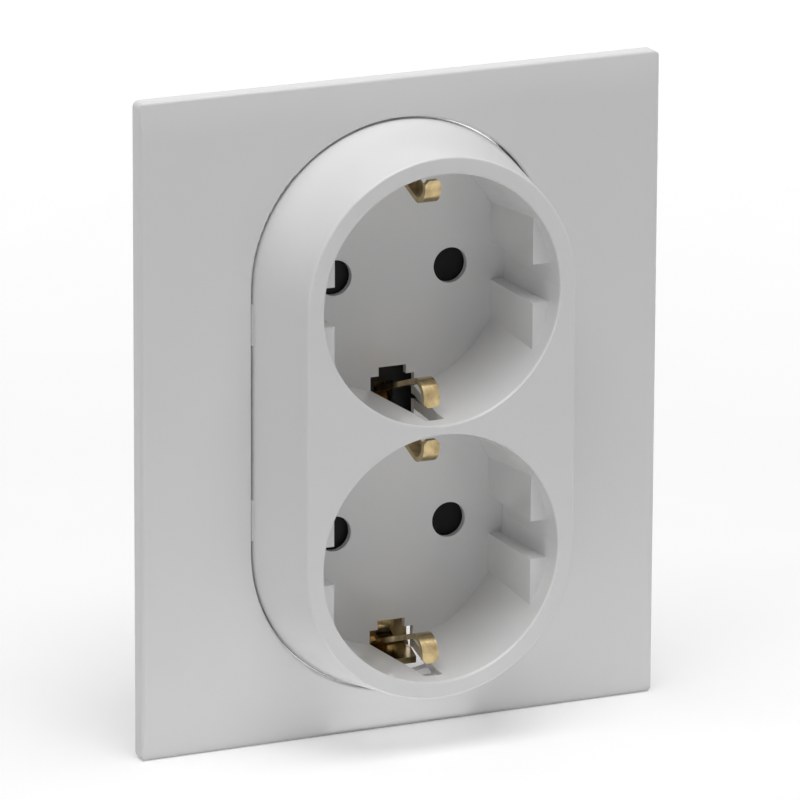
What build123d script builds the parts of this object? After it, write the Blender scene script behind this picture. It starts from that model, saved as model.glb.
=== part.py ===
import os
from math import atan, degrees, hypot, sqrt
from build123d import *

os.makedirs("parts", exist_ok=True)

# Double earthed wall socket outlet, one outlet above the other, all sizes in mm.
# X runs to the right as seen from the room, Z runs up and +Y runs into the wall.
# The wall plane is Y = 0. Heights are measured from it towards the room.

# Fits
slide_gap = 0.3
plate_gap = 0.25
drop_in = 0.15

# Layers from the wall outwards
frame_sheet = 1.2
flange_thickness = 1.6
shutter_thickness = 1.7
floor_thickness = 1.0
well_depth = 18.1

flange_front = frame_sheet + flange_thickness
shutter_back = flange_front + slide_gap
shutter_front = shutter_back + shutter_thickness
floor_back = shutter_front + slide_gap
floor_front = floor_back + floor_thickness
boss_front = floor_front + well_depth

# Wells and boss of the socket cover
well_pitch = 40.0
well_mouth_r = 19.25
well_floor_r = 18.55
well_wall = 1.4
rim_width = 2.6
boss_rise = 15.2
boss_flare = 2.55
boss_wall = 1.8
rim_depth = 7.2
skirt_length = 1.6
boss_edge_round = 0.35
mouth_round = 0.3

well_z = well_pitch / 2
well_draft = degrees(atan((well_mouth_r - well_floor_r) / well_depth))
boss_r = well_mouth_r + rim_width
boss_foot = boss_front - boss_rise
boss_foot_r = boss_r + boss_flare
boss_taper = degrees(atan(boss_flare / boss_rise))
skirt_back = boss_foot - skirt_length
hollow_front = boss_front - rim_depth

# Plug guides on both sides of a well
guide_flat = 16.2
guide_recess = 3.2
guide_notch = 6.0
guide_overlap = 1.0

# Plug pin holes
pin_spacing = 19.0
pin_hole_r = 2.75
pin_reach = 19.0

# Earth clip openings of a well
slot_width = 7.2
slot_inner = 16.1
slot_step_width = 4.5
slot_step_inner = 14.7
slot_nose_width = 3.1
slot_length = 12.7
slot_outer = 20.6
tip_pocket_length = 2.7
slot_tip_depth = 0.45

# Cover legs that hold the cover on the frame and the plate on the cover
leg_z = 15.2
leg_width = 6.4
leg_thickness = 1.4
leg_reach = 2.2
leg_barb = 0.9
plate_nib = 1.4
plate_nib_height = 1.5
post_r = 1.5
post_x = 16.5
post_z = 14.0
leg_inset = 0.4
pad_rise = 0.15

# Cover plate
plate_width = 85.0
plate_height = 101.6
plate_corner = 1.0
plate_rise = 9.7
plate_edge = 2.45
plate_band = 5.5
plate_band_drop = 0.4
plate_edge_round = 0.5
opening_round = 0.3
plate_wall = 2.6
skirt_inset = 3.2
skirt_wall = 1.4
skirt_corner = 3.0
plate_rib = 1.2
plate_rib_depth = 2.5
plate_rib_clearance = 1.0

# Support frame
frame_gap = 2.4
frame_corner = 5.0
frame_bridge = 2.85
frame_fold = 2.0
box_screw_spacing = 60.0
box_slot_width = 4.2
box_slot_length = 7.0

# Contact base and rear cover
rail_clearance = 0.5
base_width = 40.0
base_wall = 1.6
base_depth = 20.0
rear_cover_thickness = 2.0
flange_margin = 1.2
flange_corner = 4.0
window_gap = 0.3
partition_x = 4.6
partition = 1.2
rivet_inset = 1.8
rivet_edge = 3.3
rivet_margin = 3.5
rivet_r = 1.4
rivet_head_r = 2.3
rivet_head = 0.8
boss_screw_x = 15.6
boss_screw_z = 10.8
boss_screw_r = 1.3
boss_screw_head_r = 2.4
boss_screw_wall = 1.3
boss_screw_length = 9.0
boss_screw_head = 1.5
lip = 1.2
rear_edge_bevel = 0.8
rivet_dome = 30
seat_z = 15.8
stop_post_z = 13.8

# Shutters
pivot_r = 1.5
hub_r = 3.0
lobe_r = 3.6
arm_width = 3.4
stop_r = 0.7
stop_x = 5.4
spring_sheet = 0.25
spring_x = -6.4
spring_z = 5.2
spring_tip_x = 5.0
peg_r = 0.6
pivot_gap = 0.1
shutter_ramp = 0.5

# Earth strap and clips
strap_width = 8.4
strap_sheet = 1.0
strap_bend_r = 1.2
tongue_out = 20.0
tongue_length = 4.6
tongue_tip = 4.2
clip_width = 2.6
clip_sheet = 0.8
clip_floor_out = 17.9
clip_crest_rise = 11.75
clip_crest_out = 13.72
clip_brow_rise = 13.83
clip_brow_out = 15.0
clip_tip_rise = 14.0
clip_tip_out = 17.5
clip_tip_bevel = 0.6
clip_bend_r = 2.35
clip_stem = 1.6
clip_stake = 0.5
lug_sheet = 1.0
lug_width = 7.2
lug_foot = 9.5
lug_z = 6.0
lug_bend_r = 1.2
earth_rivet_r = 1.0
earth_rivet_head_r = 1.7
earth_rivet_z = 9.6
earth_rivet_pitch = 3.8

# Line and neutral rails
rail_sheet = 0.8
fork_half = 2.9
fork_pinch = 2.5
fork_mouth = 3.2
fork_width = 6.0
fork_front = 0.6
fork_crest = 3.8
pin_clearance = 1.5
rail_front = 8.0
rail_strip = 4.0
tab_width = 11.0

# Terminals
terminal_depth = 13.0
terminal_end = 18.0
screw_r = 1.75
screw_head_r = 3.0
screw_head = 2.0
screw_tip = 1.2
screw_slot = 0.7
clamp_sheet = 1.2
clamp_size = 8.0
wire_gap = 1.8
wire_hole_r = 1.7
driver_hole_r = 3.3

fork_bottom = pin_reach - floor_front + pin_clearance
rail_x = pin_spacing / 2 + fork_half
base_r = hypot(rail_x + rail_sheet / 2, well_z + fork_width / 2) + rail_clearance + base_wall
window_r = base_r + window_gap
window_width = base_width + 2 * window_gap
rivet_x = base_width / 2 - rivet_inset
rivet_z = sqrt((window_r + rivet_edge) ** 2 - rivet_x**2)
flange_width = base_width + 2 * flange_margin
flange_height = 2 * (rivet_z + rivet_margin)
frame_width = plate_width - 2 * (skirt_inset + skirt_wall + frame_gap)
strap_front = frame_sheet
strap_back = strap_front - strap_sheet
strap_middle = strap_front - strap_sheet / 2
strap_lift = frame_sheet + slide_gap + strap_sheet / 2
joggle_start = flange_height / 2 + strap_sheet / 2
joggle_end = joggle_start + strap_lift - strap_middle
frame_slot = 2 * (joggle_end + strap_sheet)
frame_height = frame_slot + 2 * frame_bridge
clip_crest_height = floor_front + clip_crest_rise
clip_brow_height = floor_front + clip_brow_rise
clip_tip_height = floor_front + clip_tip_rise
clip_slope = (clip_floor_out - clip_crest_out) / clip_crest_rise
clip_bend_out = clip_floor_out + (floor_front - strap_lift) * clip_slope
clip_root = clip_crest_height - (well_z - clip_crest_out) / clip_slope
seat_x = (partition_x + base_width / 2) / 2
seat_length = base_width / 2 - base_wall / 2 - partition_x - partition / 2
wire_offset = screw_r + wire_hole_r
rail_wire_x = rail_x + rail_sheet / 2 + wire_gap / 2
earth_wire_z = lug_z + lug_sheet + wire_gap / 2
slot_end = floor_front + slot_length
slot_tip_outer = well_z + well_mouth_r + slot_tip_depth
rear_face = base_depth + rear_cover_thickness
plate_back_wall = plate_rise - plate_wall
plate_shoulder = plate_rise - plate_band_drop
plate_slab_back = plate_shoulder - plate_edge
leg_outer = boss_foot_r - leg_inset
leg_x = leg_outer - leg_thickness / 2
nib_front = plate_back_wall - drop_in
rib_clear_r = boss_foot_r + plate_gap + plate_rib_clearance
tongue_root = slot_width - 2 * slide_gap
tongue_front = floor_front + tongue_length
tongue_step = strap_lift + strap_bend_r
clip_window = 2 * ((flange_front - clip_root) * clip_slope + clip_sheet + slide_gap)


def level(height):
    """Plane parallel to the wall that faces the room."""
    return Plane.XZ.offset(height)


def side_plane(x):
    """Plane at a given X whose normal runs to the right."""
    return Plane.YZ.offset(x)


# Socket cover: one moulding with both wells
with BuildPart() as socket_cover:
    with BuildSketch(level(skirt_back)):
        SlotCenterToCenter(well_pitch, 2 * boss_foot_r, rotation=90)
    extrude(amount=skirt_length)
    with BuildSketch(level(boss_foot)):
        SlotCenterToCenter(well_pitch, 2 * boss_foot_r, rotation=90)
    extrude(amount=boss_rise, taper=boss_taper)
    fillet(socket_cover.faces().sort_by(Axis.Y)[0].edges(), boss_edge_round)

    # Hollow behind the rim, open to the rear
    with BuildSketch(level(skirt_back)):
        SlotCenterToCenter(well_pitch, 2 * (boss_foot_r - boss_wall), rotation=90)
    extrude(amount=skirt_length, mode=Mode.SUBTRACT)
    with BuildSketch(level(boss_foot)):
        SlotCenterToCenter(well_pitch, 2 * (boss_foot_r - boss_wall), rotation=90)
    extrude(amount=hollow_front - boss_foot, taper=boss_taper, mode=Mode.SUBTRACT)

    # Well cups with their draft
    with BuildSketch(level(floor_back)):
        with Locations((0, well_z), (0, -well_z)):
            Circle(well_floor_r + well_wall)
    extrude(amount=boss_front - mouth_round - floor_back, taper=-well_draft)
    with BuildSketch(level(floor_front)):
        with Locations((0, well_z), (0, -well_z)):
            Circle(well_floor_r)
    extrude(amount=well_depth, taper=-well_draft, mode=Mode.SUBTRACT)
    mouths = socket_cover.edges().filter_by(GeomType.CIRCLE).group_by(Axis.Y)[0]
    fillet(mouths, mouth_round)

    # Plug guides, flat towards the plug and notched in the middle
    with BuildSketch(level(floor_front)):
        with Locations((0, well_z), (0, -well_z)):
            Circle(well_floor_r + guide_overlap)
            Rectangle(2 * guide_flat, 2 * well_mouth_r + 2 * well_wall, mode=Mode.SUBTRACT)
            Rectangle(2 * well_mouth_r + 2 * well_wall, guide_notch, mode=Mode.SUBTRACT)
    extrude(amount=well_depth - guide_recess)

    # Pin holes and the stepped floor openings for the earth clips
    with BuildSketch(level(floor_back)):
        for z in (well_z, -well_z):
            with Locations((-pin_spacing / 2, z), (pin_spacing / 2, z)):
                Circle(pin_hole_r)
        for side in (1, -1):
            with Locations((0, side * (well_z + (slot_outer + slot_inner) / 2))):
                Rectangle(slot_width, slot_outer - slot_inner)
            with Locations((0, side * (well_z + (slot_outer + slot_step_inner) / 2))):
                Rectangle(slot_step_width, slot_outer - slot_step_inner)
        Rectangle(slot_width, 2 * (well_z - slot_inner))
        Rectangle(slot_step_width, 2 * (well_z - slot_step_inner))
    extrude(amount=floor_thickness, mode=Mode.SUBTRACT)

    # Clip relief in the well walls, wide at the floor and narrow at its front end
    for side in (1, -1):
        for start, end in ((0, well_z - slot_inner), (well_z + slot_inner, well_z + slot_outer)):
            with BuildSketch(Plane.XY.offset(side * start)):
                Polygon(
                    (-slot_width / 2, -floor_front),
                    (slot_width / 2, -floor_front),
                    (slot_nose_width / 2, -slot_end),
                    (-slot_nose_width / 2, -slot_end),
                    align=None,
                )
            extrude(amount=side * (end - start), mode=Mode.SUBTRACT)
        for start, end in ((0, well_z - slot_inner), (well_z + slot_inner, slot_tip_outer)):
            with BuildSketch(Plane.XY.offset(side * start)):
                with Locations((0, -slot_end - tip_pocket_length / 2)):
                    Rectangle(slot_nose_width, tip_pocket_length)
            extrude(amount=side * (end - start), mode=Mode.SUBTRACT)

    # Legs: a nib holds the plate and a barb hooks behind the frame
    for side in (1, -1):
        for z in (leg_z, -leg_z):
            with BuildSketch(Plane.XY.offset(z - leg_width / 2)):
                Polygon(
                    (side * (leg_outer - leg_thickness), -skirt_back - leg_inset),
                    (side * leg_outer, -skirt_back - leg_inset),
                    (side * leg_outer, -nib_front),
                    (side * (leg_outer + plate_nib), -nib_front),
                    (side * (leg_outer + plate_nib), -nib_front + plate_nib_height / 2),
                    (side * leg_outer, -nib_front + plate_nib_height),
                    (side * leg_outer, drop_in),
                    (side * (leg_outer + leg_barb), drop_in),
                    (side * (leg_outer + leg_barb / 3), leg_reach),
                    (side * (leg_outer - leg_thickness), leg_reach),
                    align=None,
                )
            extrude(amount=leg_width)

    # Pads at the legs that centre the plate around the skirt
    with BuildSketch(level(skirt_back)):
        for z in (leg_z, -leg_z):
            with Locations((-boss_foot_r, z), (boss_foot_r, z)):
                Rectangle(2 * pad_rise, leg_width)
    extrude(amount=plate_rise - opening_round - skirt_back)

    # Posts that seat the cover on the contact base
    with BuildSketch(level(flange_front)):
        for z in (post_z, -post_z):
            with Locations((-post_x, z), (post_x, z)):
                Circle(post_r)
    extrude(amount=floor_back - flange_front)
socket_cover.part.label = "socket_cover"
export_step(socket_cover.part, "parts/socket_cover.step")

# Cover plate: slab with its face bowed back above and below, and an inset skirt that stands on the wall
with BuildPart() as cover_plate:
    with BuildSketch(level(plate_slab_back)):
        RectangleRounded(plate_width, plate_height, plate_corner)
    extrude(amount=plate_rise - plate_slab_back)
    with BuildSketch(level(plate_slab_back)):
        SlotCenterToCenter(well_pitch, 2 * (boss_foot_r + plate_gap), rotation=90)
    extrude(amount=plate_rise - plate_slab_back, mode=Mode.SUBTRACT)
    face = cover_plate.faces().sort_by(Axis.Y)[0]
    fillet(face.inner_wires()[0].edges(), opening_round)
    half = plate_height / 2
    with BuildSketch(Plane.ZY) as bow:
        with BuildLine():
            Line((plate_band - half, -plate_rise), (half - plate_band, -plate_rise))
            TangentArc((half - plate_band, -plate_rise), (half, -plate_shoulder), tangent=(1, 0))
            Polyline((half, -plate_shoulder), (half, 0), (-half, 0), (-half, -plate_shoulder))
            TangentArc((plate_band - half, -plate_rise), (-half, -plate_shoulder), tangent=(-1, 0))
        make_face()
        fillet(bow.vertices().group_by(Axis.Y)[1], plate_edge_round)
    extrude(amount=plate_width, both=True, mode=Mode.INTERSECT)
    with BuildSketch(Plane.XY) as sides:
        with Locations((0, -plate_rise / 2)):
            Rectangle(plate_width, plate_rise)
        fillet(sides.vertices().group_by(Axis.Y)[0], plate_edge_round)
    extrude(amount=plate_height, both=True, mode=Mode.INTERSECT)
    with BuildSketch(level(0)):
        RectangleRounded(plate_width - 2 * skirt_inset, plate_height - 2 * skirt_inset, skirt_corner)
    extrude(amount=plate_slab_back)
    with BuildSketch(level(0)):
        RectangleRounded(
            plate_width - 2 * (skirt_inset + skirt_wall),
            plate_height - 2 * (skirt_inset + skirt_wall),
            skirt_corner - skirt_wall,
        )
    extrude(amount=plate_back_wall, mode=Mode.SUBTRACT)

    # Stiffening ribs above and below the opening
    with BuildSketch(level(plate_back_wall - plate_rib_depth)):
        for z in (1, -1):
            with Locations((0, z * (plate_height / 2 - skirt_inset - skirt_wall - plate_rib_depth))):
                Rectangle(plate_width - 2 * skirt_inset - skirt_wall, plate_rib)
        SlotCenterToCenter(well_pitch, 2 * rib_clear_r, rotation=90, mode=Mode.SUBTRACT)
    extrude(amount=plate_rib_depth)
cover_plate.part.label = "cover_plate"
export_step(cover_plate.part, "parts/cover_plate.step")

# Support frame: folded sheet with the window for the contact base
with BuildPart() as support_frame:
    with BuildSketch(level(0)):
        RectangleRounded(frame_width, frame_height, frame_corner)
        Rectangle(strap_width + 4 * slide_gap, frame_slot, mode=Mode.SUBTRACT)
        with Locations((-box_screw_spacing / 2, 0), (box_screw_spacing / 2, 0)):
            SlotOverall(box_slot_length, box_slot_width, mode=Mode.SUBTRACT)
        for z in (leg_z, -leg_z):
            with Locations((-leg_x, z), (leg_x, z)):
                Rectangle(leg_thickness + 2 * slide_gap, leg_width + 2 * slide_gap, mode=Mode.SUBTRACT)
        for z in (rivet_z, -rivet_z):
            with Locations((-rivet_x, z), (rivet_x, z)):
                Circle(rivet_r, mode=Mode.SUBTRACT)
    extrude(amount=frame_sheet)
    with BuildSketch(level(0)):
        Circle(window_r)
        Rectangle(window_width, 2 * window_r, mode=Mode.INTERSECT)
    extrude(amount=frame_sheet, mode=Mode.SUBTRACT)
    for side in (1, -1):
        with BuildSketch(level(frame_sheet)):
            with Locations((side * (frame_width - frame_sheet) / 2, 0)):
                Rectangle(frame_sheet, frame_height - 2 * frame_corner)
        extrude(amount=frame_fold)
support_frame.part.label = "support_frame"
export_step(support_frame.part, "parts/support_frame.step")

# Contact base: front wall with flange, walls and chambers, open to the rear
with BuildPart() as contact_base:
    with BuildSketch(level(frame_sheet)):
        RectangleRounded(flange_width, flange_height, flange_corner)
    extrude(amount=flange_thickness)
    with BuildSketch(level(frame_sheet)):
        Circle(base_r)
        Rectangle(base_width, 2 * base_r, mode=Mode.INTERSECT)
    extrude(amount=-frame_sheet - base_depth)
    with BuildSketch(level(frame_sheet)):
        Circle(base_r - base_wall)
        Rectangle(base_width - 2 * base_wall, 2 * base_r, mode=Mode.INTERSECT)
    extrude(amount=-frame_sheet - base_depth, mode=Mode.SUBTRACT)

    # Partitions between the three chambers
    with BuildSketch(level(frame_sheet)):
        with Locations((-partition_x - partition / 2, 0), (partition_x + partition / 2, 0)):
            Rectangle(partition, 2 * base_r)
        Circle(base_r - base_wall / 2, mode=Mode.INTERSECT)
    extrude(amount=lip - frame_sheet - base_depth)

    # Seats of the rails and bosses for the rear cover screws
    with BuildSketch(level(frame_sheet)):
        for z in (seat_z, -seat_z):
            with Locations((-seat_x, z), (seat_x, z)):
                Rectangle(seat_length, partition)
    extrude(amount=-frame_sheet - rail_front)
    with BuildSketch(level(frame_sheet)):
        for z in (boss_screw_z, -boss_screw_z):
            with Locations((-boss_screw_x, z), (boss_screw_x, z)):
                Circle(boss_screw_r + boss_screw_wall)
    extrude(amount=lip - frame_sheet - base_depth)
    with BuildSketch(level(lip - base_depth)):
        for z in (boss_screw_z, -boss_screw_z):
            with Locations((-boss_screw_x, z), (boss_screw_x, z)):
                Circle(boss_screw_r)
    extrude(amount=boss_screw_length, mode=Mode.SUBTRACT)

    # Slots for the earth strap in the end walls
    with BuildSketch(level(frame_sheet)):
        with Locations((0, base_r), (0, -base_r)):
            Rectangle(strap_width + 2 * drop_in, 4 * base_wall)
    extrude(amount=-frame_sheet - base_depth, mode=Mode.SUBTRACT)

    # Front wall: pin holes, clip window and rivet holes
    with BuildSketch(level(frame_sheet)):
        for z in (well_z, -well_z):
            with Locations((-pin_spacing / 2, z), (pin_spacing / 2, z)):
                Circle(pin_hole_r)
        for z in (rivet_z, -rivet_z):
            with Locations((-rivet_x, z), (rivet_x, z)):
                Circle(rivet_r)
        Rectangle(clip_width + 2 * slide_gap, clip_window)
    extrude(amount=flange_thickness, mode=Mode.SUBTRACT)

    # Driver holes in the side walls
    with BuildSketch(side_plane(-base_width / 2)):
        with Locations((terminal_depth, 0)):
            Circle(driver_hole_r)
    extrude(amount=base_wall, mode=Mode.SUBTRACT)
    with BuildSketch(side_plane(base_width / 2)):
        with Locations((terminal_depth, 0)):
            Circle(driver_hole_r)
    extrude(amount=-base_wall, mode=Mode.SUBTRACT)

    # Shutter pivots, stops and spring pegs
    with BuildSketch(level(flange_front)):
        with Locations((0, well_z), (0, -well_z)):
            Circle(pivot_r)
            with Locations((stop_x, -arm_width / 2 - drop_in - stop_r)):
                Circle(stop_r)
            with Locations((spring_x, spring_z)):
                with GridLocations(0, 2 * (peg_r + spring_sheet), 1, 2):
                    Circle(peg_r)
    extrude(amount=floor_back - slide_gap / 2 - flange_front)
contact_base.part.label = "contact_base"
export_step(contact_base.part, "parts/contact_base.step")

# Rear cover: wire entries, tongues that close the strap slots and rail stops
with BuildPart() as rear_cover:
    with BuildSketch(level(-base_depth)):
        Circle(base_r)
        Rectangle(base_width, 2 * base_r, mode=Mode.INTERSECT)
    extrude(amount=-rear_cover_thickness)
    chamfer(rear_cover.faces().sort_by(Axis.Y)[-1].edges(), rear_edge_bevel)
    with BuildSketch(level(-base_depth)):
        Circle(base_r)
        Circle(base_r - base_wall, mode=Mode.SUBTRACT)
        Rectangle(strap_width, 2 * base_r, mode=Mode.INTERSECT)
    extrude(amount=base_depth + strap_back)
    with BuildSketch(level(-base_depth)):
        for z in (boss_screw_z, -boss_screw_z):
            with Locations((-boss_screw_x, z), (boss_screw_x, z)):
                Circle(boss_screw_r + boss_screw_wall)
    extrude(amount=lip)
    with BuildSketch(level(-base_depth)):
        for z in (stop_post_z, -stop_post_z):
            with Locations((-rail_x, z), (rail_x, z)):
                Rectangle(2 * rail_sheet, partition)
    extrude(amount=base_depth - rail_front - rail_strip)
    with BuildSketch(level(-rear_face)):
        for z in (boss_screw_z, -boss_screw_z):
            with Locations((-boss_screw_x, z), (boss_screw_x, z)):
                Circle(boss_screw_r + drop_in)
        for z in (wire_offset, -wire_offset):
            with Locations((-rail_wire_x, z), (rail_wire_x, z)):
                Circle(wire_hole_r)
        with Locations((-wire_offset, earth_wire_z), (wire_offset, earth_wire_z)):
            Circle(wire_hole_r)
    extrude(amount=rear_cover_thickness + lip, mode=Mode.SUBTRACT)
    with BuildSketch(Plane.XY.offset(base_r - 2 * base_wall)):
        with Locations((0, terminal_depth)):
            Circle(driver_hole_r)
    extrude(amount=3 * base_wall, mode=Mode.SUBTRACT)
rear_cover.part.label = "rear_cover"
export_step(rear_cover.part, "parts/rear_cover.step")


def shutter(z):
    """Rotary shutter with a lobe in front of each pin hole of one well."""
    with BuildPart() as blade:
        with BuildSketch(level(shutter_back)):
            with Locations((0, z)):
                Circle(hub_r)
                Rectangle(pin_spacing, arm_width)
            with Locations((-pin_spacing / 2, z), (pin_spacing / 2, z)):
                Circle(lobe_r)
            with Locations((0, z)):
                Circle(pivot_r + pivot_gap, mode=Mode.SUBTRACT)
        extrude(amount=shutter_thickness)
        front = blade.faces().sort_by(Axis.Y)[0]
        chamfer(front.outer_wire().edges(), shutter_ramp)
    return blade.part


def shutter_spring(z):
    """Leaf spring that turns a shutter back over the pin holes."""
    with BuildPart() as leaf:
        with BuildSketch(level(shutter_back + pivot_gap)):
            with BuildLine():
                Line((spring_x - 2 * peg_r, z + spring_z), (spring_x + 2 * peg_r, z + spring_z))
                TangentArc(
                    (spring_x + 2 * peg_r, z + spring_z),
                    (spring_tip_x, z + arm_width / 2 + spring_sheet),
                    tangent=(1, 0),
                )
            trace(line_width=spring_sheet)
        extrude(amount=shutter_thickness - 2 * pivot_gap)
    return leaf.part


upper_shutter = shutter(well_z)
upper_shutter.label = "upper_shutter"
export_step(upper_shutter, "parts/upper_shutter.step")

lower_shutter = shutter(-well_z)
lower_shutter.label = "lower_shutter"
export_step(lower_shutter, "parts/lower_shutter.step")

upper_shutter_spring = shutter_spring(well_z)
upper_shutter_spring.label = "upper_shutter_spring"
export_step(upper_shutter_spring, "parts/upper_shutter_spring.step")

lower_shutter_spring = shutter_spring(-well_z)
lower_shutter_spring.label = "lower_shutter_spring"
export_step(lower_shutter_spring, "parts/lower_shutter_spring.step")

# Earth strap, joggled over the frame, its ends bent forward into tongues with the outer clip of each well
with BuildPart() as earth_strap:
    with BuildSketch(Plane.YZ):
        with BuildLine():
            FilletPolyline(
                (-tongue_front, -well_z - tongue_out),
                (-strap_lift, -well_z - tongue_out),
                (-strap_lift, -joggle_end),
                (-strap_middle, -joggle_start),
                (-strap_middle, joggle_start),
                (-strap_lift, joggle_end),
                (-strap_lift, well_z + tongue_out),
                (-tongue_front, well_z + tongue_out),
                radius=strap_bend_r,
            )
        trace(line_width=strap_sheet)
    extrude(amount=strap_width / 2, both=True)
    with BuildSketch(Plane.XY):
        for side in (1, -1):
            Polygon(
                (side * tongue_root / 2, -tongue_step),
                (side * tongue_root / 2, -floor_front),
                (side * tongue_tip / 2, -tongue_front),
                (side * strap_width, -tongue_front),
                (side * strap_width, -tongue_step),
                align=None,
            )
    extrude(amount=2 * well_pitch, both=True, mode=Mode.SUBTRACT)
    with BuildSketch(level(strap_back)):
        Rectangle(clip_width, clip_stem)
        with Locations((0, earth_rivet_z), (0, earth_rivet_z + earth_rivet_pitch)):
            Circle(earth_rivet_r)
    extrude(amount=strap_sheet, mode=Mode.SUBTRACT)
    for side in (1, -1):
        with BuildSketch(Plane.YZ):
            with BuildLine():
                FilletPolyline(
                    (-strap_lift, side * (well_z + clip_bend_out - 2 * clip_bend_r)),
                    (-strap_lift, side * (well_z + clip_bend_out)),
                    (-clip_crest_height, side * (well_z + clip_crest_out)),
                    (-clip_brow_height, side * (well_z + clip_brow_out)),
                    (-clip_tip_height, side * (well_z + clip_tip_out)),
                    radius=clip_bend_r,
                )
            trace(line_width=clip_sheet)
        extrude(amount=clip_width / 2, both=True)
    corners = earth_strap.edges().filter_by(lambda edge: abs(edge.length - clip_sheet) < drop_in)
    chamfer(corners.sort_by(Axis.Y)[:4], clip_tip_bevel)
earth_strap.part.label = "earth_strap"
export_step(earth_strap.part, "parts/earth_strap.step")

# Centre earth clip: two tongues, one for each well, on a stem staked into the strap
with BuildPart() as centre_earth_clip:
    for side in (1, -1):
        with BuildSketch(Plane.YZ):
            with BuildLine():
                FilletPolyline(
                    (-clip_root, 0),
                    (-clip_crest_height, side * (well_z - clip_crest_out)),
                    (-clip_brow_height, side * (well_z - clip_brow_out)),
                    (-clip_tip_height, side * (well_z - clip_tip_out)),
                    radius=clip_bend_r,
                )
            trace(line_width=clip_sheet)
        extrude(amount=clip_width / 2, both=True)
    corners = centre_earth_clip.edges().filter_by(lambda edge: abs(edge.length - clip_sheet) < drop_in)
    chamfer(corners.sort_by(Axis.Y)[:4], clip_tip_bevel)
    with BuildSketch(level(strap_back - clip_stake)):
        Rectangle(clip_width, clip_stem)
    extrude(amount=clip_root + clip_stem / 2 - strap_back + clip_stake)
    with BuildSketch(level(strap_back - clip_stake)):
        Rectangle(clip_width + clip_stake, clip_stem + clip_stake)
    extrude(amount=clip_stake)
centre_earth_clip.part.label = "centre_earth_clip"
export_step(centre_earth_clip.part, "parts/centre_earth_clip.step")

# Earth terminal: angle riveted to the strap
with BuildPart() as earth_terminal:
    with BuildSketch(Plane.YZ):
        with BuildLine():
            FilletPolyline(
                (lug_sheet / 2 - strap_back, lug_z + lug_foot),
                (lug_sheet / 2 - strap_back, lug_z + lug_sheet / 2),
                (terminal_end, lug_z + lug_sheet / 2),
                radius=lug_bend_r,
            )
        trace(line_width=lug_sheet)
    extrude(amount=lug_width / 2, both=True)
    with BuildSketch(level(strap_back - lug_sheet)):
        with Locations((0, earth_rivet_z), (0, earth_rivet_z + earth_rivet_pitch)):
            Circle(earth_rivet_r)
    extrude(amount=lug_sheet, mode=Mode.SUBTRACT)
    with BuildSketch(Plane.XY.offset(lug_z)):
        with Locations((0, terminal_depth)):
            Circle(screw_r)
    extrude(amount=lug_sheet, mode=Mode.SUBTRACT)
earth_terminal.part.label = "earth_terminal"
export_step(earth_terminal.part, "parts/earth_terminal.step")

# Rivets of the earth terminal
with BuildPart() as earth_rivets:
    with BuildSketch(level(strap_back - lug_sheet)):
        with Locations((0, earth_rivet_z), (0, earth_rivet_z + earth_rivet_pitch)):
            Circle(earth_rivet_r)
    extrude(amount=strap_sheet + lug_sheet)
    with BuildSketch(level(strap_back - lug_sheet)):
        with Locations((0, earth_rivet_z), (0, earth_rivet_z + earth_rivet_pitch)):
            Circle(earth_rivet_head_r)
    extrude(amount=-rivet_head, taper=rivet_dome)
earth_rivets.part.label = "earth_rivets"
export_step(earth_rivets.part, "parts/earth_rivets.step")


def rail(side):
    """Current rail with a sprung fork behind each pin hole and a terminal tab."""
    pin_x = side * pin_spacing / 2
    with BuildPart() as strip:
        for z in (well_z, -well_z):
            with BuildSketch(Plane.XY.offset(z - fork_width / 2)):
                with BuildLine():
                    FilletPolyline(
                        (pin_x - fork_mouth, fork_front),
                        (pin_x - fork_pinch, fork_crest),
                        (pin_x - fork_half, rail_front - rail_sheet),
                        (pin_x - fork_half, fork_bottom),
                        (pin_x + fork_half, fork_bottom),
                        (pin_x + fork_half, rail_front - rail_sheet),
                        (pin_x + fork_pinch, fork_crest),
                        (pin_x + fork_mouth, fork_front),
                        radius=rail_sheet,
                    )
                trace(line_width=rail_sheet)
            extrude(amount=fork_width)
        with BuildSketch(side_plane(side * rail_x)):
            with Locations((rail_front + rail_strip / 2, 0)):
                Rectangle(rail_strip, 2 * well_z - fork_width + 2 * rail_sheet)
            with Locations(((rail_front + terminal_end) / 2, 0)):
                Rectangle(terminal_end - rail_front, tab_width)
            with Locations((terminal_depth, 0)):
                Circle(screw_r, mode=Mode.SUBTRACT)
        extrude(amount=rail_sheet / 2, both=True)
    return strip.part


line_rail = rail(-1)
line_rail.label = "line_rail"
export_step(line_rail, "parts/line_rail.step")

neutral_rail = rail(1)
neutral_rail.label = "neutral_rail"
export_step(neutral_rail, "parts/neutral_rail.step")


def clamp(seat):
    """Clamp plate with a turned-down lip, on a terminal tab whose outer face is the given plane."""
    with BuildPart() as plate:
        with BuildSketch(seat.offset(wire_gap)):
            Rectangle(clamp_size, clamp_size)
            Circle(screw_r + drop_in, mode=Mode.SUBTRACT)
        extrude(amount=clamp_sheet)
        with BuildSketch(seat.offset(wire_gap)):
            with Locations((0, (clamp_sheet - clamp_size) / 2)):
                Rectangle(clamp_size, clamp_sheet)
        extrude(amount=-wire_gap)
    return plate.part


line_seat = Plane((-rail_x - rail_sheet / 2, terminal_depth, 0), x_dir=(0, 0, 1), z_dir=(-1, 0, 0))
neutral_seat = Plane((rail_x + rail_sheet / 2, terminal_depth, 0), x_dir=(0, 0, -1), z_dir=(1, 0, 0))
earth_seat = Plane((0, terminal_depth, lug_z + lug_sheet), x_dir=(1, 0, 0), z_dir=(0, 0, 1))

line_clamp = clamp(line_seat)
line_clamp.label = "line_clamp"
export_step(line_clamp, "parts/line_clamp.step")

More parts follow.
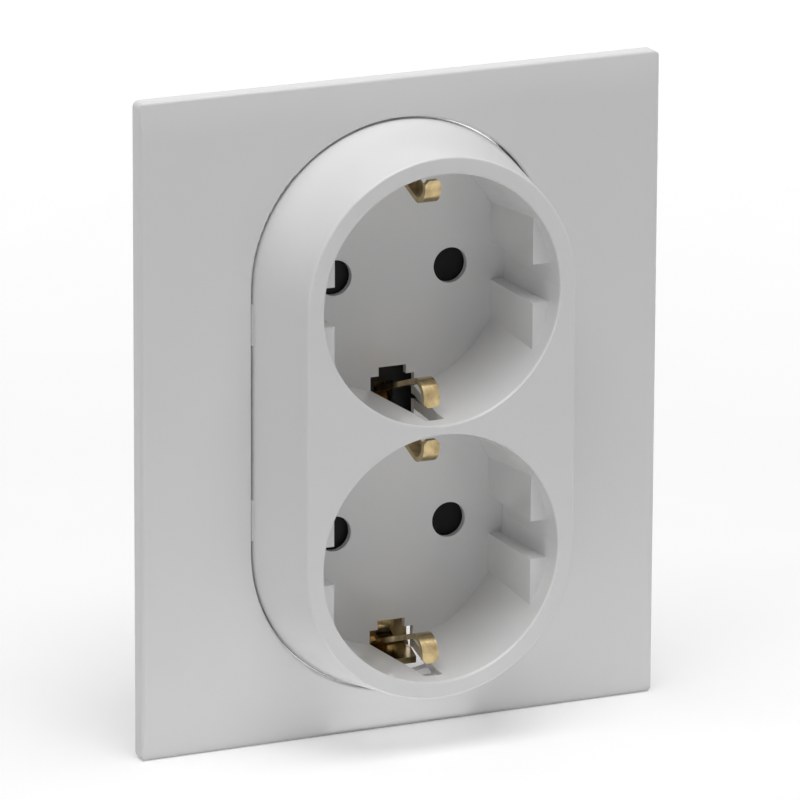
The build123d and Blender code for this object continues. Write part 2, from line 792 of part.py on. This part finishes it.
neutral_clamp = clamp(neutral_seat)
neutral_clamp.label = "neutral_clamp"
export_step(neutral_clamp, "parts/neutral_clamp.step")

earth_clamp = clamp(earth_seat)
earth_clamp.label = "earth_clamp"
export_step(earth_clamp, "parts/earth_clamp.step")

# Terminal screws, one on each clamp
with BuildPart() as terminal_screws:
    for seat, sheet in ((line_seat, rail_sheet), (neutral_seat, rail_sheet), (earth_seat, lug_sheet)):
        with BuildSketch(seat.offset(-sheet - screw_tip)):
            Circle(screw_r)
        extrude(amount=sheet + screw_tip + wire_gap + clamp_sheet)
        with BuildSketch(seat.offset(wire_gap + clamp_sheet)):
            Circle(screw_head_r)
        extrude(amount=screw_head)
        with BuildSketch(seat.offset(wire_gap + clamp_sheet + screw_head)):
            Rectangle(2 * screw_head_r, screw_slot)
        extrude(amount=-screw_head / 2, mode=Mode.SUBTRACT)
terminal_screws.part.label = "terminal_screws"
export_step(terminal_screws.part, "parts/terminal_screws.step")

# Screws of the rear cover
with BuildPart() as rear_cover_screws:
    with BuildSketch(level(-rear_face)):
        for z in (boss_screw_z, -boss_screw_z):
            with Locations((-boss_screw_x, z), (boss_screw_x, z)):
                Circle(boss_screw_r)
    extrude(amount=rear_cover_thickness + lip + boss_screw_length - screw_tip)
    with BuildSketch(level(-rear_face)):
        for z in (boss_screw_z, -boss_screw_z):
            with Locations((-boss_screw_x, z), (boss_screw_x, z)):
                Circle(boss_screw_head_r)
    extrude(amount=-boss_screw_head)
    with BuildSketch(level(-rear_face - boss_screw_head)):
        for z in (boss_screw_z, -boss_screw_z):
            with Locations((-boss_screw_x, z), (boss_screw_x, z)):
                Rectangle(boss_screw_head_r, screw_slot)
                Rectangle(screw_slot, boss_screw_head_r)
    extrude(amount=boss_screw_head / 2, mode=Mode.SUBTRACT)
rear_cover_screws.part.label = "rear_cover_screws"
export_step(rear_cover_screws.part, "parts/rear_cover_screws.step")

# Rivets that join the contact base to the frame
with BuildPart() as frame_rivets:
    with BuildSketch(level(0)):
        for z in (rivet_z, -rivet_z):
            with Locations((-rivet_x, z), (rivet_x, z)):
                Circle(rivet_r)
    extrude(amount=flange_front)
    with BuildSketch(level(flange_front)):
        for z in (rivet_z, -rivet_z):
            with Locations((-rivet_x, z), (rivet_x, z)):
                Circle(rivet_head_r)
    extrude(amount=rivet_head, taper=rivet_dome)
    with BuildSketch(level(0)):
        for z in (rivet_z, -rivet_z):
            with Locations((-rivet_x, z), (rivet_x, z)):
                Circle(rivet_head_r)
    extrude(amount=-rivet_head, taper=rivet_dome)
frame_rivets.part.label = "frame_rivets"
export_step(frame_rivets.part, "parts/frame_rivets.step")
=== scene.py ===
import math
import bmesh
import bpy
from mathutils import Matrix, Vector


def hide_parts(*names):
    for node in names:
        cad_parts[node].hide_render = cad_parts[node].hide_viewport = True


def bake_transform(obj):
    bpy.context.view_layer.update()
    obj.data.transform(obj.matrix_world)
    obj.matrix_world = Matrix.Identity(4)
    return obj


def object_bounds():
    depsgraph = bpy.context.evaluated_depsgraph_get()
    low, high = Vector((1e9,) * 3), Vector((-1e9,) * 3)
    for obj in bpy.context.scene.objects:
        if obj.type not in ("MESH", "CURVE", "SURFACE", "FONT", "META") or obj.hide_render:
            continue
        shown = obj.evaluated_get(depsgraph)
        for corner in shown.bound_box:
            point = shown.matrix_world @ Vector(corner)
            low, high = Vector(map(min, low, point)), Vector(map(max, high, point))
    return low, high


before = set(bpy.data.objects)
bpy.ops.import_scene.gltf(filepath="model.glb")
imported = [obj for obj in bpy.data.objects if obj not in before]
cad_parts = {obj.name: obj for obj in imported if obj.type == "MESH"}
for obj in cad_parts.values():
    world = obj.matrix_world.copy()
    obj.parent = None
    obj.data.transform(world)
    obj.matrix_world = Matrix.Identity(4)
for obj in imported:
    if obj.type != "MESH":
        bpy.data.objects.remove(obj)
cad_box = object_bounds()

# Photograph's camera: left of the object's front, looking down a little
CAMERA_YAW = math.radians(24.61)
CAMERA_DOWN = math.radians(15.99)
CAMERA_ROLL = math.radians(0.27)
CAMERA_DISTANCE = 1.2318
FOCAL_PIXELS = 8189.8
FRAME_PIXELS = 800
TARGET = Vector((0, -0.0091, 0))
TARGET_RIGHT_PIXELS = 0.4
TARGET_DOWN_PIXELS = 4.7
SENSOR_WIDTH_MM = 36
CLIP_START = 0.05

# Leaf springs, which in the socket bend between their pegs and the shutter's arm: cuts along every edge
# of their copies
SPRING_CUTS = 2

# Floor: glow near the object, and the distances between which it fades to white
FLOOR_HEIGHT = cad_box[0][2]
FLOOR_SIZE = 12
FLOOR_GLOW = 0.28
FLOOR_FADE = (0.15, 1.6)

# Studio light
OVERHEAD_SPOT = (-0.1, -0.3, 1.6)
OVERHEAD_SIZE = 1.4
OVERHEAD_WATTS = 25.5
LEFT_SPOT = (-1.3, -0.3, 0.5)
LEFT_SIZE = 1.0
LEFT_WATTS = 0.45
FILL_STRENGTH = 0.12

# Strips on the table, from the plate's face forwards
PLATE_FACE = -0.0098
STRIP_LIFT = 0.0003
TABLE_STRIP_FRONT = -0.065
TABLE_STRIP_WIDTH = 0.16
TABLE_STRIP_WATTS = 0.0075
BOSS_STRIP_FRONT = -0.024
BOSS_STRIP_WIDTH = 0.024
BOSS_STRIP_WATTS = 0.0005

# Surface effects: noise scales per metre, and the part of a noise that is spread over the whole range
MOTTLE_SCALE = 45
GRAIN_SCALE = 2600
STREAK_SCALE = 900
STREAK_STRETCH = (6, 0.25, 0.6)
TARNISH_SCALE = 480
NOISE_LOW, NOISE_HIGH = 0.3, 0.7
RELIEF_DEPTH = 0.00005

# Colour sockets of a Mix node, by place because its names repeat
MIX_FIRST, MIX_SECOND, MIX_RESULT = 6, 7, 2


def place_camera():
    """Sets the camera where the photograph was taken from."""
    ahead = Vector((
        math.sin(CAMERA_YAW) * math.cos(CAMERA_DOWN),
        math.cos(CAMERA_YAW) * math.cos(CAMERA_DOWN),
        -math.sin(CAMERA_DOWN),
    ))
    right = Vector((math.cos(CAMERA_YAW), -math.sin(CAMERA_YAW), 0))
    up = right.cross(ahead)
    roll = Matrix.Rotation(-CAMERA_ROLL, 3, ahead)
    right, up = roll @ right, roll @ up
    pixel = CAMERA_DISTANCE / FOCAL_PIXELS
    spot = TARGET - CAMERA_DISTANCE * ahead
    spot += up * TARGET_DOWN_PIXELS * pixel - right * TARGET_RIGHT_PIXELS * pixel
    lens = bpy.data.cameras.new("photo_camera")
    lens.sensor_width = SENSOR_WIDTH_MM
    lens.lens = FOCAL_PIXELS * SENSOR_WIDTH_MM / FRAME_PIXELS
    lens.clip_start = CLIP_START
    camera = bpy.data.objects.new("photo_camera", lens)
    turn = Matrix((right, up, -ahead)).transposed().to_4x4()
    camera.matrix_world = Matrix.Translation(spot) @ turn
    bpy.context.scene.collection.objects.link(camera)
    bpy.context.scene.camera = camera


def soft_lamp(name, spot, aim, width, height, watts):
    """Adds one rectangular studio lamp."""
    data = bpy.data.lights.new(name, "AREA")
    data.shape = "RECTANGLE"
    data.size, data.size_y = width, height
    data.energy = watts
    lamp = bpy.data.objects.new(name, data)
    lamp.location = spot
    lamp.rotation_euler = (Vector(aim) - Vector(spot)).to_track_quat("-Z", "Y").to_euler()
    bpy.context.scene.collection.objects.link(lamp)
    return lamp


def table_strip(name, front, width, watts):
    """Adds a lamp that lies on the table in front of the plate and lights the object's foot."""
    middle = Vector((0, (front + PLATE_FACE) / 2, FLOOR_HEIGHT + STRIP_LIFT))
    lamp = soft_lamp(name, middle, middle + Vector((0, 0, 1)), width, PLATE_FACE - front, watts)
    lamp.visible_camera = lamp.visible_glossy = False


def seen_directly(tree):
    """Value that is 1 for camera, glossy and transmission rays, and 0 for light that is passed on."""
    path = tree.nodes.new("ShaderNodeLightPath")
    value = path.outputs["Is Camera Ray"]
    for label in ("Is Glossy Ray", "Is Transmission Ray"):
        either = tree.nodes.new("ShaderNodeMath")
        either.operation = "MAXIMUM"
        tree.links.new(value, either.inputs[0])
        tree.links.new(path.outputs[label], either.inputs[1])
        value = either.outputs["Value"]
    return value


def white_surroundings():
    """World that looks white and passes on a weak even fill."""
    world = bpy.data.worlds.new("studio_surroundings")
    bpy.context.scene.world = world
    world.use_nodes = True
    tree = world.node_tree
    shade = tree.nodes["Background"]
    shade.inputs["Color"].default_value = (1, 1, 1, 1)
    strength = tree.nodes.new("ShaderNodeMapRange")
    strength.inputs["To Min"].default_value = FILL_STRENGTH
    strength.inputs["To Max"].default_value = 1.0
    tree.links.new(seen_directly(tree), strength.inputs["Value"])
    tree.links.new(strength.outputs["Result"], shade.inputs["Strength"])


def light_studio():
    """Large softbox above, a weak one on the left, two strips on the table and an even fill."""
    middle = (0, 0, 0)
    soft_lamp("overhead_softbox", OVERHEAD_SPOT, middle, OVERHEAD_SIZE, OVERHEAD_SIZE, OVERHEAD_WATTS)
    soft_lamp("left_softbox", LEFT_SPOT, middle, LEFT_SIZE, LEFT_SIZE, LEFT_WATTS)
    table_strip("table_strip", TABLE_STRIP_FRONT, TABLE_STRIP_WIDTH, TABLE_STRIP_WATTS)
    table_strip("boss_strip", BOSS_STRIP_FRONT, BOSS_STRIP_WIDTH, BOSS_STRIP_WATTS)
    white_surroundings()


def effect_group(name, inputs, outputs):
    """Starts a shader node group with the named float or colour sockets."""
    group = bpy.data.node_groups.new(name, "ShaderNodeTree")
    for label, kind, value in inputs:
        socket = group.interface.new_socket(label, in_out="INPUT", socket_type=kind)
        socket.default_value = value
    for label, kind in outputs:
        group.interface.new_socket(label, in_out="OUTPUT", socket_type=kind)
    return group, group.nodes.new("NodeGroupInput"), group.nodes.new("NodeGroupOutput")


def object_noise(group, scale, detail, stretch=(1, 1, 1)):
    """Noise over object coordinates, stretched along chosen axes."""
    place = group.nodes.new("ShaderNodeTexCoord")
    mapping = group.nodes.new("ShaderNodeMapping")
    mapping.inputs["Scale"].default_value = stretch
    noise = group.nodes.new("ShaderNodeTexNoise")
    noise.inputs["Scale"].default_value = scale
    noise.inputs["Detail"].default_value = detail
    group.links.new(place.outputs["Object"], mapping.inputs["Vector"])
    group.links.new(mapping.outputs["Vector"], noise.inputs["Vector"])
    return noise.outputs["Fac"]


def to_range(group, value, low, high):
    """Spreads a noise between two sockets or numbers."""
    node = group.nodes.new("ShaderNodeMapRange")
    node.inputs["From Min"].default_value = NOISE_LOW
    node.inputs["From Max"].default_value = NOISE_HIGH
    group.links.new(value, node.inputs["Value"])
    for label, end in (("To Min", low), ("To Max", high)):
        if isinstance(end, (int, float)):
            node.inputs[label].default_value = end
        else:
            group.links.new(end, node.inputs[label])
    return node.outputs["Result"]


def blend_colours(group, value, first, second):
    """Mixes two colour sockets by a value."""
    mix = group.nodes.new("ShaderNodeMix")
    mix.data_type = "RGBA"
    group.links.new(value, mix.inputs["Factor"])
    group.links.new(first, mix.inputs[MIX_FIRST])
    group.links.new(second, mix.inputs[MIX_SECOND])
    return mix.outputs[MIX_RESULT]


def moulded_surface():
    """Injection moulded plastic: faint flow mottle and a fine spark-eroded grain."""
    group, given, result = effect_group(
        "moulded_surface",
        (
            ("Tone", "NodeSocketColor", (0.8, 0.8, 0.8, 1)),
            ("Mottle Tone", "NodeSocketColor", (0.78, 0.78, 0.78, 1)),
            ("Low Roughness", "NodeSocketFloat", 0.28),
            ("High Roughness", "NodeSocketFloat", 0.38),
        ),
        (("Color", "NodeSocketColor"), ("Roughness", "NodeSocketFloat"), ("Height", "NodeSocketFloat")),
    )
    mottle = object_noise(group, MOTTLE_SCALE, detail=3)
    grain = object_noise(group, GRAIN_SCALE, detail=2)
    colour = blend_colours(group, mottle, given.outputs["Tone"], given.outputs["Mottle Tone"])
    group.links.new(colour, result.inputs["Color"])
    rough = to_range(group, mottle, given.outputs["Low Roughness"], given.outputs["High Roughness"])
    group.links.new(rough, result.inputs["Roughness"])
    group.links.new(grain, result.inputs["Height"])
    return group


def rolled_metal():
    """Rolled or drawn strip: streaks along one direction and patchy tarnish."""
    group, given, result = effect_group(
        "rolled_metal",
        (
            ("Bright", "NodeSocketColor", (0.8, 0.6, 0.25, 1)),
            ("Dull", "NodeSocketColor", (0.5, 0.34, 0.12, 1)),
            ("Low Roughness", "NodeSocketFloat", 0.2),
            ("High Roughness", "NodeSocketFloat", 0.4),
        ),
        (("Color", "NodeSocketColor"), ("Roughness", "NodeSocketFloat"), ("Height", "NodeSocketFloat")),
    )
    streaks = object_noise(group, STREAK_SCALE, detail=3, stretch=STREAK_STRETCH)
    tarnish = to_range(group, object_noise(group, TARNISH_SCALE, detail=6), 0.0, 1.0)
    colour = blend_colours(group, tarnish, given.outputs["Bright"], given.outputs["Dull"])
    group.links.new(colour, result.inputs["Color"])
    rough = to_range(group, streaks, given.outputs["Low Roughness"], given.outputs["High Roughness"])
    group.links.new(rough, result.inputs["Roughness"])
    group.links.new(streaks, result.inputs["Height"])
    return group


MOULDED = moulded_surface()
ROLLED = rolled_metal()


def surface_material(name, effect, values, bump, metallic=0.0, specular=0.5):
    """Principled material fed by one of the surface effects."""
    material = bpy.data.materials.new(name)
    material.use_nodes = True
    tree = material.node_tree
    shader = tree.nodes["Principled BSDF"]
    shader.inputs["Metallic"].default_value = metallic
    shader.inputs["Specular IOR Level"].default_value = specular
    skin = tree.nodes.new("ShaderNodeGroup")
    skin.node_tree = effect
    for label, value in values.items():
        skin.inputs[label].default_value = value
    tree.links.new(skin.outputs["Color"], shader.inputs["Base Color"])
    tree.links.new(skin.outputs["Roughness"], shader.inputs["Roughness"])
    relief = tree.nodes.new("ShaderNodeBump")
    relief.inputs["Strength"].default_value = bump
    relief.inputs["Distance"].default_value = RELIEF_DEPTH
    tree.links.new(skin.outputs["Height"], relief.inputs["Height"])
    tree.links.new(relief.outputs["Normal"], shader.inputs["Normal"])
    return material


def white_gloss():
    """Glossy white plastic of the plate and the socket cover."""
    return surface_material(
        "white_gloss_plastic", MOULDED,
        {"Tone": (0.80, 0.80, 0.80, 1), "Mottle Tone": (0.785, 0.785, 0.785, 1),
         "Low Roughness": 0.16, "High Roughness": 0.24}, bump=0.04,
    )


def black_thermoset():
    """Matt black moulding of the contact base and its rear cover."""
    return surface_material(
        "black_thermoset", MOULDED,
        {"Tone": (0.008, 0.008, 0.009, 1), "Mottle Tone": (0.014, 0.014, 0.015, 1),
         "Low Roughness": 0.42, "High Roughness": 0.56}, bump=0.2, specular=0.3,
    )


def shutter_plastic():
    """Black plastic behind the pin holes."""
    return surface_material(
        "shutter_plastic", MOULDED,
        {"Tone": (0.004, 0.004, 0.0044, 1), "Mottle Tone": (0.007, 0.007, 0.0075, 1),
         "Low Roughness": 0.4, "High Roughness": 0.5}, bump=0.12, specular=0.14,
    )


def clip_brass():
    """Slightly tarnished brass of the earth pieces and the rails."""
    return surface_material(
        "clip_brass", ROLLED,
        {"Bright": (0.66, 0.52, 0.28, 1), "Dull": (0.3, 0.22, 0.11, 1),
         "Low Roughness": 0.15, "High Roughness": 0.26}, bump=0.07, metallic=1.0,
    )


def zinc_sheet():
    """Zinc-plated sheet of the frame and the clamp plates."""
    return surface_material(
        "zinc_sheet", ROLLED,
        {"Bright": (0.66, 0.66, 0.64, 1), "Dull": (0.52, 0.53, 0.53, 1),
         "Low Roughness": 0.3, "High Roughness": 0.48}, bump=0.2, metallic=1.0,
    )


def bright_steel():
    """Plated steel of the screws, rivets and leaf springs."""
    return surface_material(
        "bright_steel", ROLLED,
        {"Bright": (0.62, 0.62, 0.62, 1), "Dull": (0.46, 0.46, 0.47, 1),
         "Low Roughness": 0.3, "High Roughness": 0.42}, bump=0.15, metallic=1.0,
    )


def floor_whiteness(tree):
    """Glow of the floor, which rises to white with the distance from the object."""
    place = tree.nodes.new("ShaderNodeTexCoord")
    away = tree.nodes.new("ShaderNodeVectorMath")
    away.operation = "LENGTH"
    tree.links.new(place.outputs["Object"], away.inputs["Vector"])
    whiteness = tree.nodes.new("ShaderNodeMapRange")
    tree.links.new(away.outputs["Value"], whiteness.inputs["Value"])
    near, far = FLOOR_FADE
    ends = {"From Min": near, "From Max": far, "To Min": FLOOR_GLOW, "To Max": 1.0}
    for label, value in ends.items():
        whiteness.inputs[label].default_value = value
    return whiteness.outputs["Result"]


def floor_material():
    """Pale floor that keeps the object's shadow and looks white further away."""
    material = surface_material(
        "pale_floor", MOULDED,
        {"Tone": (0.78, 0.78, 0.78, 1), "Mottle Tone": (0.77, 0.77, 0.77, 1),
         "Low Roughness": 0.7, "High Roughness": 0.8}, bump=0.0,
    )
    tree = material.node_tree
    lit = tree.nodes["Principled BSDF"]
    shown = tree.nodes.new("ShaderNodeMath")
    shown.operation = "MULTIPLY"
    tree.links.new(seen_directly(tree), shown.inputs[0])
    tree.links.new(floor_whiteness(tree), shown.inputs[1])
    glow = tree.nodes.new("ShaderNodeEmission")
    tree.links.new(shown.outputs["Value"], glow.inputs["Strength"])
    both = tree.nodes.new("ShaderNodeAddShader")
    tree.links.new(lit.outputs["BSDF"], both.inputs[0])
    tree.links.new(glow.outputs["Emission"], both.inputs[1])
    tree.links.new(both.outputs["Shader"], tree.nodes["Material Output"].inputs["Surface"])
    return material


def lay_floor():
    """Wide floor under the object, part of the stage."""
    bpy.ops.mesh.primitive_plane_add(size=FLOOR_SIZE, location=(0, 0, FLOOR_HEIGHT))
    floor = bpy.context.object
    floor.name = "studio_floor"
    floor.data.materials.append(floor_material())


NODE_FINISH = {
    white_gloss: ("cover_plate", "socket_cover"),
    black_thermoset: ("contact_base", "rear_cover"),
    shutter_plastic: ("upper_shutter", "lower_shutter"),
    clip_brass: (
        "earth_strap", "centre_earth_clip", "earth_terminal", "earth_rivets",
        "line_rail", "neutral_rail",
    ),
    zinc_sheet: ("support_frame", "line_clamp", "neutral_clamp", "earth_clamp"),
    bright_steel: (
        "terminal_screws", "rear_cover_screws", "frame_rivets",
        "upper_shutter_spring", "lower_shutter_spring",
    ),
}


def finish_nodes():
    """Gives every modelled piece its material."""
    for make, names in NODE_FINISH.items():
        material = make()
        for name in names:
            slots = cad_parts[name].data.materials
            if not slots:
                slots.append(material)
            for index in range(len(slots)):
                slots[index] = material


def flexing_spring(shutter):
    """Copy of a shutter's leaf spring, cut finer along its edges and shown in place of the modelled
    spring.
    """
    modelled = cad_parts[shutter + "_spring"]
    leaf = bpy.data.objects.new(shutter + "_flexing_spring", modelled.data.copy())
    bpy.context.scene.collection.objects.link(leaf)
    leaf.data.attributes.remove(leaf.data.attributes["custom_normal"])
    leaf.data.shade_flat()
    steel = bmesh.new()
    steel.from_mesh(leaf.data)
    bmesh.ops.subdivide_edges(steel, edges=steel.edges[:], cuts=SPRING_CUTS, use_grid_fill=True)
    steel.to_mesh(leaf.data)
    steel.free()
    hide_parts(modelled.name)
    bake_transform(leaf)


finish_nodes()
flexing_spring("upper_shutter")
flexing_spring("lower_shutter")
lay_floor()
light_studio()
place_camera()

bpy.context.scene.view_settings.view_transform = "Standard"
